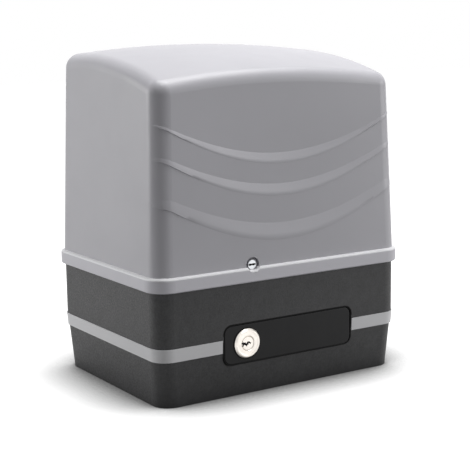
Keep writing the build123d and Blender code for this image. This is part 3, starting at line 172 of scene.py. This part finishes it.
def silver_plastic(name, color, rim=None):
    """Satin painted plastic with a faint orange-peel skin."""
    made = Surface(name, color, 0.41, Specular_IOR_Level=0.5)
    made.tint(made.noise(scale=9.0, detail=4), low=0.975, high=1.02)
    # The rim below a height is painted lighter: painted light on the rim's faces.
    if rim:
        made.painted_light_below(**rim)
    made.gloss(made.noise(scale=38.0, detail=3), low=0.38, high=0.45)
    made.bump(made.noise(scale=900.0, detail=2), height=0.00006, strength=0.5)
    return made.material


def textured_plastic(name, color):
    """Moulded plastic with a spark-eroded grain and slight mottling."""
    grain = 0.00022
    made = Surface(name, color, 0.55, Specular_IOR_Level=0.35)
    made.tint(made.noise(scale=110.0, detail=6, roughness=0.7), low=0.62, high=1.4,
              start=0.3, end=0.7)
    made.gloss(made.noise(scale=700.0, detail=2), low=0.46, high=0.66)
    made.bump(made.noise(scale=1500.0, detail=2, roughness=0.6), height=grain, strength=0.7)
    made.bump(made.noise(scale=420.0, detail=2), height=grain, strength=0.25)
    return made.material


def panel_plastic(name, color):
    """Satin black panel, smoother than the housing around it."""
    made = Surface(name, color, 0.42, Specular_IOR_Level=0.17)
    made.tint(made.noise(scale=45.0, detail=4), low=0.9, high=1.12)
    made.gloss(made.noise(scale=120.0, detail=4), low=0.38, high=0.5)
    made.bump(made.noise(scale=1300.0, detail=2), height=0.00005, strength=0.5)
    return made.material


def plain_plastic(name, color, roughness):
    """Moulded or painted skin without a grain."""
    made = Surface(name, color, roughness)
    made.tint(made.noise(scale=70.0, detail=4), low=0.93, high=1.06)
    made.gloss(made.noise(scale=150.0, detail=3), low=roughness - 0.06, high=roughness + 0.08)
    made.bump(made.noise(scale=1200.0, detail=2), height=0.00004, strength=0.5)
    return made.material


def worked_metal(name, color, roughness, stretch=(1, 1, 1)):
    """Machined, drawn or cast metal; a stretch draws its marks out along the axes."""
    made = Surface(name, color, roughness, metallic=1.0)
    made.tint(made.noise(scale=120.0, detail=3, stretch=stretch), low=0.86, high=1.08)
    made.gloss(made.noise(scale=600.0, detail=3, roughness=0.6, stretch=stretch),
               low=roughness - 0.08, high=roughness + 0.12)
    made.bump(made.noise(scale=2400.0, detail=2, stretch=stretch), height=0.00002, strength=0.4)
    return made.material


def plated_metal(name, color, roughness):
    """Smooth plating with a little tarnish."""
    made = Surface(name, color, roughness, metallic=1.0)
    made.tint(made.noise(scale=260.0, detail=3), low=0.93, high=1.04)
    made.gloss(made.noise(scale=500.0, detail=3), low=roughness - 0.04, high=roughness + 0.08)
    made.bump(made.noise(scale=1800.0, detail=2), height=0.000004, strength=0.4)
    return made.material


def rubber(name, color):
    made = Surface(name, color, 0.7, Specular_IOR_Level=0.15)
    made.tint(made.noise(scale=90.0, detail=5), low=0.8, high=1.3)
    made.bump(made.noise(scale=1600.0, detail=3), height=0.00005, strength=0.6)
    return made.material


# Height below which the cover's colour is the rim's, painted lighter as painted light, in metres,
# and how much lighter that is
RIM_PAINTED_LIGHT = {"height": 0.1058, "factor": 1.34}
# Each slot's kind of material, its colour, and what else that kind needs to know
FINISHES = {
    "cover_silver": (silver_plastic, (0.415, 0.41, 0.44), {"rim": RIM_PAINTED_LIGHT}),
    "band_silver": (silver_plastic, (0.63, 0.63, 0.645), {}),
    "base_charcoal": (textured_plastic, (0.019, 0.019, 0.020), {}),
    "panel_black": (panel_plastic, (0.006, 0.006, 0.0065), {}),
    "lock_nickel": (plated_metal, (0.74, 0.70, 0.65), {"roughness": 0.34}),
    "zinc_screw": (plated_metal, (0.62, 0.64, 0.66), {"roughness": 0.25}),
    "steel": (worked_metal, (0.46, 0.46, 0.47), {"roughness": 0.32}),
    "bearing_steel": (worked_metal, (0.6, 0.6, 0.61), {"roughness": 0.2}),
    "bronze": (worked_metal, (0.62, 0.40, 0.16), {"roughness": 0.3}),
    "cast_alloy": (worked_metal, (0.6, 0.6, 0.61), {"roughness": 0.5}),
    "black_rubber": (rubber, (0.004, 0.004, 0.004), {}),
    "motor_paint": (plain_plastic, (0.02, 0.02, 0.022), {"roughness": 0.35}),
    "magnet_grey": (plain_plastic, (0.06, 0.06, 0.065), {"roughness": 0.6}),
    "rotor_steel": (worked_metal, (0.36, 0.35, 0.34), {"roughness": 0.42, "stretch": (1, 1, 30)}),
    "copper": (worked_metal, (0.66, 0.30, 0.16), {"roughness": 0.3}),
    "battery_case": (plain_plastic, (0.045, 0.046, 0.05), {"roughness": 0.5}),
    "battery_strap": (plain_plastic, (0.012, 0.012, 0.012), {"roughness": 0.55}),
    "board_green": (plain_plastic, (0.012, 0.10, 0.04), {"roughness": 0.3}),
    "relay_blue": (plain_plastic, (0.02, 0.07, 0.30), {"roughness": 0.3}),
    "terminal_green": (plain_plastic, (0.02, 0.22, 0.07), {"roughness": 0.4}),
    "bracket_zinc": (worked_metal, (0.55, 0.56, 0.58), {"roughness": 0.4}),
    "winding_tape": (plain_plastic, (0.50, 0.30, 0.05), {"roughness": 0.35}),
    "sensor_black": (plain_plastic, (0.012, 0.012, 0.013), {"roughness": 0.45}),
    "bush_white": (plain_plastic, (0.62, 0.60, 0.54), {"roughness": 0.45}),
}


def dress_nodes():
    """Gives every CAD node the material of its slot."""
    materials = {slot: make(slot, color, **more) for slot, (make, color, more) in FINISHES.items()}
    for entry in frame["record"]["subparts"]:
        node = NODES[entry["node"]]
        node.data.materials.clear()
        node.data.materials.append(materials[entry["material_slot"]])
    return materials


# Sizes that pieces of the scene share with the CAD source
MM = 0.001
RIM_TOP = 105.3
RIM_HALF_X = 125.0
RIM_HALF_Y = 92.15
RIM_R = 18.0
# Each ledge's lower and upper edge at the middle above the rim, and how far each rises to its end
WAVES = ((83.5, 91.9, 36.0, 29.0), (57.3, 66.9, 36.0, 30.0), (21.3, 35.1, 36.5, 31.0))
WAVE_HALF = 115.0
# Shares of the squared and of the fourth power in a wave's rise
WAVE_SQUARE = 1.1067
WAVE_FOURTH = 0.1067
# Left, right, bottom, top and corner radius of the release panel and of the opening round it
PANEL_Y = -88.4
PANEL = (-60.6, 67.4, 27.8, 59.8, 6.5)
PANEL_GAP = (-61.6, 69.1, 26.8, 60.8, 7.5)
LOCK = (-39.0, 43.8)
LOCK_R = 12.25
LOCK_PROUD = 1.6
PLUG_DROP = 0.3
SCREW = (-33.0, 108.4)
SCREW_HEAD_R = 4.0

# Edges sharper than this stay sharp, in degrees: on a piece, and on the trim of the cover
SHARP = 30.0
TRIM_SHARP = 50.0


def surface_of(node):
    """Search tree over a CAD node's mesh, to set pieces down on it."""
    mesh = NODES[node].data
    return BVHTree.FromPolygons([v.co for v in mesh.vertices], [p.vertices for p in mesh.polygons])


def loft(name, rows, body, slot, material=None, closed=False):
    """Piece skinned over a row of closed cross-sections, given in millimetres."""
    count = len(rows[0])
    faces = []
    spans = len(rows) if closed else len(rows) - 1
    for i in range(spans):
        here, there = i * count, (i + 1) % len(rows) * count
        for j in range(count):
            k = (j + 1) % count
            faces.append((here + j, here + k, there + k, there + j))
    if not closed:
        last = (len(rows) - 1) * count
        faces += [tuple(range(count))[::-1], tuple(range(last, last + count))]
    mesh = bpy.data.meshes.new(name)
    mesh.from_pydata([Vector(point) * MM for row in rows for point in row], [], faces)
    shape = bmesh.new()
    shape.from_mesh(mesh)
    bmesh.ops.recalc_face_normals(shape, faces=shape.faces)
    shape.to_mesh(mesh)
    shape.free()
    piece = bpy.data.objects.new(name, mesh)
    bpy.context.scene.collection.objects.link(piece)
    mesh.materials.append(material or MATERIALS[slot])
    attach(piece, body)
    return piece


def smooth(piece, angle=SHARP):
    piece.data.shade_smooth()
    piece.data.set_sharp_from_angle(angle=math.radians(angle))


def wave_height(x, centre, rise):
    t = min(1.0, abs(x) / WAVE_HALF) ** 2
    return RIM_TOP + centre + rise * (WAVE_SQUARE * t - WAVE_FOURTH * t * t)


# The ledges turn round the cover's front corners about these points, this far, in degrees
WRAP_X = 106.0
WRAP_Y = -74.0
WRAP_TURN = 74.0
WRAP_STEPS = 14
FRONT_STEPS = 72
# Climb of a ledge round the corner: it goes on rising, and eases off
WRAP_CLIMB = 7.0
WRAP_EASE = 2.6


def front_path():
    """Stations along the cover's front from the left side to the right one.

    Each is a pivot, the way outward, and how far round the corner it is, from 0 to 1.
    """
    stations = []
    for i in range(WRAP_STEPS, 0, -1):
        turn = math.radians(WRAP_TURN * i / WRAP_STEPS)
        outward = Vector((-math.sin(turn), -math.cos(turn), 0))
        stations.append((Vector((-WRAP_X, WRAP_Y, 0)), outward, i / WRAP_STEPS))
    for i in range(FRONT_STEPS + 1):
        x = -WRAP_X + 2 * WRAP_X * i / FRONT_STEPS
        stations.append((Vector((x, WRAP_Y, 0)), Vector((0, -1, 0)), 0.0))
    for pivot, way, reach in stations[:WRAP_STEPS][::-1]:
        stations.append((Vector((-pivot.x, pivot.y, 0)), Vector((-way.x, way.y, 0)), reach))
    return stations


# Distance outside the cover from which its wall is searched
RAY_START = 60.0
# Forward slope of each lip over its height, and the least that its edge stands out
LIP_SLOPES = (0.21, 0.19, 0.11)
LIP_LEASTS = (0.65, 0.55, 0.3)
# Share of its height that a lip loses round the corner, and the power by which it sinks in there
LIP_THINNING = 0.45
LIP_FADE = 4
# The least that a lip's edge stands out over the wall below it, and how far below that is taken
LIP_OVER_WALL = 0.12
LIP_BELOW = 0.5
LIP_EDGE_SINK = 0.02
# Height of the point that rounds a lip, as a share of the lip, and how far that point bulges
LIP_ROUND = 0.33
LIP_BULGE = 0.1
# How far a lip's ends are let into the wall, how deep it goes behind it, and its foot's height
LIP_LAP = 0.04
LIP_DEPTH = 0.5
LIP_FOOT = 0.4


def make_ledge_lips():
    """Lip along each wave ledge, which carries its light upper slope round both front corners."""
    skin = surface_of("cover")

    def skin_at(pivot, way, z):
        """How far the cover's wall is from the pivot."""
        start = (pivot + way * RAY_START + Vector((0, 0, z))) * MM
        hit = skin.ray_cast(start, -way)[0]
        return (hit / MM - pivot - Vector((0, 0, z))).dot(way)

    for number, (low, high, low_rise, high_rise) in enumerate(WAVES, 1):
        slope, least = LIP_SLOPES[number - 1], LIP_LEASTS[number - 1]
        rows = []
        for pivot, way, reach in front_path():
            climb = WRAP_CLIMB * reach - WRAP_EASE * reach ** 2
            z_low = wave_height(pivot.x, low, low_rise) + climb
            z_high = wave_height(pivot.x, high, high_rise) + climb
            z_high = z_low + (z_high - z_low) * (1 - LIP_THINNING * reach)
            height = z_high - z_low
            fade = 1 - reach ** LIP_FADE
            upper = skin_at(pivot, way, z_high)
            below = skin_at(pivot, way, z_low - LIP_BELOW)
            proud = max(slope * height, least) * fade
            crest = max(below + LIP_OVER_WALL * fade, upper + proud) - LIP_EDGE_SINK
            middle = (crest * 2 + upper) / 3 + LIP_BULGE * fade
            section = (
                (crest, z_low), (middle, z_low + height * LIP_ROUND),
                (upper - LIP_LAP, z_high), (upper - LIP_DEPTH, z_high),
                (below - LIP_DEPTH, z_low - LIP_FOOT), (below - LIP_LAP, z_low - LIP_FOOT * fade))
            rows.append([pivot + way * out + Vector((0, 0, z)) for out, z in section])
        smooth(loft("ledge_lip_%d" % number, rows, "cover", "cover_silver"), TRIM_SHARP)


ROUND_STEPS = 10


def rounded(x0, x1, z0, z1, radius):
    """Points of a rounded rectangle, anticlockwise."""
    points = []
    corners = ((x1 - radius, z1 - radius, 0), (x0 + radius, z1 - radius, 90),
               (x0 + radius, z0 + radius, 180), (x1 - radius, z0 + radius, 270))
    for x, z, first in corners:
        for i in range(ROUND_STEPS + 1):
            a = math.radians(first + 90 * i / ROUND_STEPS)
            points.append((x + radius * math.cos(a), z + radius * math.sin(a)))
    return points


# The bead's rounded outer edge: radius, where the round starts, and the turns of its points
BEAD_R = 1.5
BEAD_LOW = -0.7
BEAD_TURNS = [math.radians(turn) for turn in (0, 18, 36, 54, 72, 88)]
# The slope behind it: how far it rises to the wall, how far it goes into it and at most reaches
BEAD_RISE = 1.25
BEAD_LAP = 0.1
BEAD_REACH = 4.5
# The hidden underside: its height at the wall, and its outer corner
BEAD_WALL_LOW = -0.6
BEAD_CORNER = (0.4, -0.9)
# Length of a step along the rim
BEAD_STEP = 1.5
# The bead runs this far below the rim's top at a screw, within this distance of its head
BEAD_SCREW_DROP = 2.0
BEAD_SCREW_ROOM = 0.6


def make_rim_bead():
    """Sloped top of the cover's rim, from its outer edge up to the wall; it dips at the screws.
    Its pale silver is a painted highlight along the rim's edge.
    """
    skin = surface_of("cover")
    corners = rounded(-RIM_HALF_X, RIM_HALF_X, -RIM_HALF_Y, RIM_HALF_Y, RIM_R)
    line = []
    for i, (x, y) in enumerate(corners):
        nx, ny = corners[(i + 1) % len(corners)]
        parts = max(1, round(math.hypot(nx - x, ny - y) / BEAD_STEP))
        line += [(x + (nx - x) * k / parts, y + (ny - y) * k / parts) for k in range(parts)]
    rows = []
    for i, (x, y) in enumerate(line):
        (px, py), (qx, qy) = line[i - 1], line[(i + 1) % len(line)]
        inward = Vector((py - qy, qx - px, 0)).normalized()
        edge = Vector((x, y, 0))
        start = edge - inward + Vector((0, 0, RIM_TOP + BEAD_RISE))
        hit = skin.ray_cast(start * MM, inward)[0]
        wall = min((hit / MM - edge).dot(inward), BEAD_REACH) if hit else BEAD_REACH
        at_screw = abs(x - SCREW[0]) < SCREW_HEAD_R + BEAD_SCREW_ROOM and abs(y) > RIM_HALF_Y - 1
        drop = BEAD_SCREW_DROP if at_screw else 0.0
        section = [(BEAD_R - BEAD_R * math.cos(a), BEAD_LOW + BEAD_R * math.sin(a))
                   for a in BEAD_TURNS]
        section += [(wall + BEAD_LAP, BEAD_RISE), (wall + BEAD_LAP, BEAD_WALL_LOW), BEAD_CORNER]
        rows.append([edge + inward * out + Vector((0, 0, RIM_TOP + z - drop))
                     for out, z in section])
    # Pale silver on the bead: a painted highlight along the rim's rounded edge.
    painted_highlight_silver = silver_plastic("rim_painted_highlight", (0.78, 0.78, 0.80))
    smooth(loft("rim_bead", rows, "cover", "cover_silver", painted_highlight_silver, closed=True), TRIM_SHARP)


# How far the seal goes past the panel's edge, more at the hinge, and laps onto the housing
SEAL_PLAY = 0.1
SEAL_HINGE_PLAY = 1.05
SEAL_LAP = 0.5
# Shares of its width at which its section bends, and heights of that section's points over
# the panel's face and over the housing's
SEAL_BENDS = (0.45, 0.62)
SEAL_OVER_PANEL = (0.6, 0.3)
SEAL_OVER_HOUSING = (-0.1, -0.04, 0.3)
SEAL_DEPTH = 2.5


def make_panel_seal():
    """Black rubber lip in the gap round the release panel, lapped onto the housing."""
    skin = surface_of("base_housing")
    x0, x1, z0, z1, radius = PANEL
    inner = rounded(x0 - SEAL_PLAY, x1 + SEAL_HINGE_PLAY, z0 - SEAL_PLAY, z1 + SEAL_PLAY, radius)
    x0, x1, z0, z1, radius = PANEL_GAP
    outer = rounded(x0 - SEAL_LAP, x1 + SEAL_LAP, z0 - SEAL_LAP, z1 + SEAL_LAP, radius + SEAL_LAP)
    rows = []
    for (x, z), (ox, oz) in zip(inner, outer):
        start = Vector((ox, -2 * RIM_HALF_Y, oz))
        front = skin.ray_cast(start * MM, Vector((0, 1, 0)))[0].y / MM
        (mx, mz), (wx, wz) = ((x + (ox - x) * part, z + (oz - z) * part) for part in SEAL_BENDS)
        high, low, foot = (front + over for over in SEAL_OVER_HOUSING)
        rows.append(((x, PANEL_Y + SEAL_OVER_PANEL[0], z), (mx, PANEL_Y + SEAL_OVER_PANEL[1], mz),
                     (wx, high, wz), (ox, low, oz), (ox, foot, oz),
                     (mx, front + SEAL_DEPTH, mz), (x, front + SEAL_DEPTH, z)))
    smooth(loft("panel_seal", rows, "base", "black_rubber", closed=True))


RING_STEPS = 72


def make_ring(name, middle, radius, section, face, way, body, slot):
    """Ring round an axis along Y; its section has steps in radius and heights over a face."""
    rows = []
    for i in range(RING_STEPS):
        a = 2 * math.pi * i / RING_STEPS
        rows.append([(middle[0] + (radius + out) * math.cos(a), face + way * y,
                      middle[1] + (radius + out) * math.sin(a)) for out, y in section])
    smooth(loft(name, rows, body, slot, closed=True))


def make_plate(name, middle, outline, depths, body):
    """Black plate with an outline round a middle, between two depths along Y."""
    rows = [[(middle[0] + x, y, middle[1] + z) for x, z in outline] for y in depths]
    loft(name, rows, body, "black_rubber")


SHADE_RING_SECTION = ((0.05, 0.2), (0.05, -0.45), (0.6, -0.5), (1.1, -0.2), (1.1, 0.2))
BEZEL_INSET = 2.4
BEZEL_SECTION = ((-0.35, 0.2), (-0.3, -0.1), (0.25, -0.28), (0.9, -0.2), (1.2, 0.2))
# Outline of the black plate that paints the keyway's shade on the plug's face, from its left edge
KEYWAY = ((-5.2, 2.6), (-4.3, 1.3), (-2.6, 0.95), (-1.5, 0.0), (-0.5, 1.5), (1.3, 1.6), (3.1, 0.0),
          (2.5, -1.0), (1.0, 0.2), (-0.1, -0.6), (-1.2, -2.6), (-2.6, -1.2), (-3.8, -0.8),
          (-4.7, -2.7), (-5.4, -2.0))
KEYWAY_PROUD = 0.05
KEYWAY_DEPTH = 1.5


def make_lock_details():
    """Black ring round the lock's round face and black plate over the keyway in its plug, both
    painted shade; and the face's raised ring.
    """
    face = PANEL_Y - LOCK_PROUD
    # Black ring round the lock's face: painted shade in the gap round it.
    make_ring("lock_painted_shade_ring", LOCK, LOCK_R, SHADE_RING_SECTION, PANEL_Y, 1, "lever", "black_rubber")
    make_ring("lock_bezel_ring", LOCK, LOCK_R - BEZEL_INSET, BEZEL_SECTION, face, 1, "lever",
              "lock_nickel")
    front = face + PLUG_DROP - KEYWAY_PROUD
    # Black plate over the keyway: painted shade of its hollow.
    make_plate("keyway_painted_shade", LOCK, KEYWAY, (front, front + KEYWAY_DEPTH), "key_plug")


SLOT_OUTLINE = ((-2.9, 1.05), (-1.6, 0.95), (-0.4, 0.6), (0.9, 0.95), (2.5, 0.8), (2.9, 0.0),
                (2.5, -0.8), (0.9, -0.95), (-0.4, -0.6), (-1.6, -0.95), (-2.9, -1.05))
SLOT_HEIGHTS = (-0.05, 0.6)
COLLAR_SECTION = ((-0.35, 0.9), (-0.35, -0.1), (-0.1, -0.35), (0.28, -0.4), (0.28, 0.9))


def make_screw_details():
    """Black plate in the slot of each cover screw as painted shade, and the moulded collar round
    its head.
    """
    low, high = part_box("cover_screws")
    for name, face, way in (("front", low[1] / MM, 1), ("rear", high[1] / MM, -1)):
        depths = [face + way * y for y in SLOT_HEIGHTS]
        # Black plate in the slot: painted shade of the slot's hollow.
        make_plate("screw_slot_painted_shade_" + name, SCREW, SLOT_OUTLINE, depths, "cover")
        make_ring("screw_collar_" + name, SCREW, SCREW_HEAD_R, COLLAR_SECTION, face, way, "cover",
                  "cover_silver")


def seen_directly(tree):
    """1 for rays that come straight from the camera or by a reflection or refraction, else 0."""
    path = tree.nodes.new("ShaderNodeLightPath")
    total = path.outputs["Is Camera Ray"]
    for ray in ("Is Glossy Ray", "Is Transmission Ray"):
        highest = tree.nodes.new("ShaderNodeMath")
        highest.operation = "MAXIMUM"
        tree.links.new(total, highest.inputs[0])
        tree.links.new(path.outputs[ray], highest.inputs[1])
        total = highest.outputs[0]
    return total


# Half the floor's side, and how far the painted shadow close round the object reaches, in metres
FLOOR_HALF = 6.0
SHADOW_REACH = 0.07
SHADOW_SAMPLES = 8
FLOOR_GREY = (0.36, 0.36, 0.36)
# The floor's glow and its brightness factor, from under the object to the open floor, both dimmed
# by occlusion as a painted shadow, each with the part of the occlusion's range over which it
# changes
PAINTED_SHADOW_GLOW = {"low": 0.05, "high": 1.0, "start": 0.45, "end": 0.97}
PAINTED_SHADOW_TINT = {"low": 0.3, "high": 1.0, "start": 0.45, "end": 0.9}


def make_floor():
    """Pale floor that looks white, with a painted soft shadow close round the object, from
    occlusion.
    """
    size = FLOOR_HALF
    mesh = bpy.data.meshes.new("floor")
    corners = [(-size, -size, 0), (size, -size, 0), (size, size, 0), (-size, size, 0)]
    mesh.from_pydata(corners, [], [(0, 1, 2, 3)])
    floor = bpy.data.objects.new("floor", mesh)
    bpy.context.scene.collection.objects.link(floor)
    paper = Surface("floor_paper", FLOOR_GREY, 1.0, Specular_IOR_Level=0.0)
    paper.gloss(paper.noise(scale=3.0, detail=2), low=0.95, high=1.0)
    near = paper.node("ShaderNodeAmbientOcclusion", Distance=SHADOW_REACH)
    near.samples = SHADOW_SAMPLES
    glow = paper.node("ShaderNodeMath")
    glow.operation = "MULTIPLY"
    paper.link(seen_directly(paper.tree), glow.inputs[0])
    # Painted shadow: glow and colour both fall off where the object occludes the floor.
    paper.link(paper.spread(near.outputs["AO"], **PAINTED_SHADOW_GLOW), glow.inputs[1])
    paper.tint(near.outputs["AO"], **PAINTED_SHADOW_TINT)
    paper.shader.inputs["Emission Color"].default_value = (1, 1, 1, 1)
    paper.link(glow.outputs[0], paper.shader.inputs["Emission Strength"])
    mesh.materials.append(paper.material)


WORLD_FILL = 0.10
# Name, place, point that it looks at, side length and power in watts
LAMPS = (
    ("top_light", (0.15, -0.04, 1.30), (0.0, 0.0, 0.25), 0.9, 18.5),
    ("left_light", (-1.30, 1.05, 0.40), (0.0, 0.0, 0.05), 0.9, 12.6),
    ("right_light", (2.45, -1.65, 0.80), (0.0, 0.0, 0.1), 1.4, 34.0),
)


def make_light():
    """White world that lights the object faintly, and three large soft lamps."""
    world = bpy.data.worlds.new("studio")
    bpy.context.scene.world = world
    world.use_nodes = True
    tree = world.node_tree
    background = tree.nodes["Background"]
    level = tree.nodes.new("ShaderNodeMapRange")
    level.inputs["To Min"].default_value = WORLD_FILL
    level.inputs["To Max"].default_value = 1.0
    tree.links.new(seen_directly(tree), level.inputs["Value"])
    tree.links.new(level.outputs["Result"], background.inputs["Strength"])
    background.inputs["Color"].default_value = (1, 1, 1, 1)
    for name, place, aim, size, power in LAMPS:
        data = bpy.data.lights.new(name, "AREA")
        data.shape = "SQUARE"
        data.size = size
        data.energy = power
        lamp = bpy.data.objects.new(name, data)
        lamp.location = place
        lamp.rotation_euler = (Vector(aim) - Vector(place)).to_track_quat("-Z", "Y").to_euler()
        bpy.context.scene.collection.objects.link(lamp)


make_camera()
MATERIALS = dress_nodes()
make_ledge_lips()
make_rim_bead()
make_panel_seal()
make_lock_details()
make_screw_details()
make_floor()
make_light()
bpy.context.scene.view_settings.view_transform = "Standard"
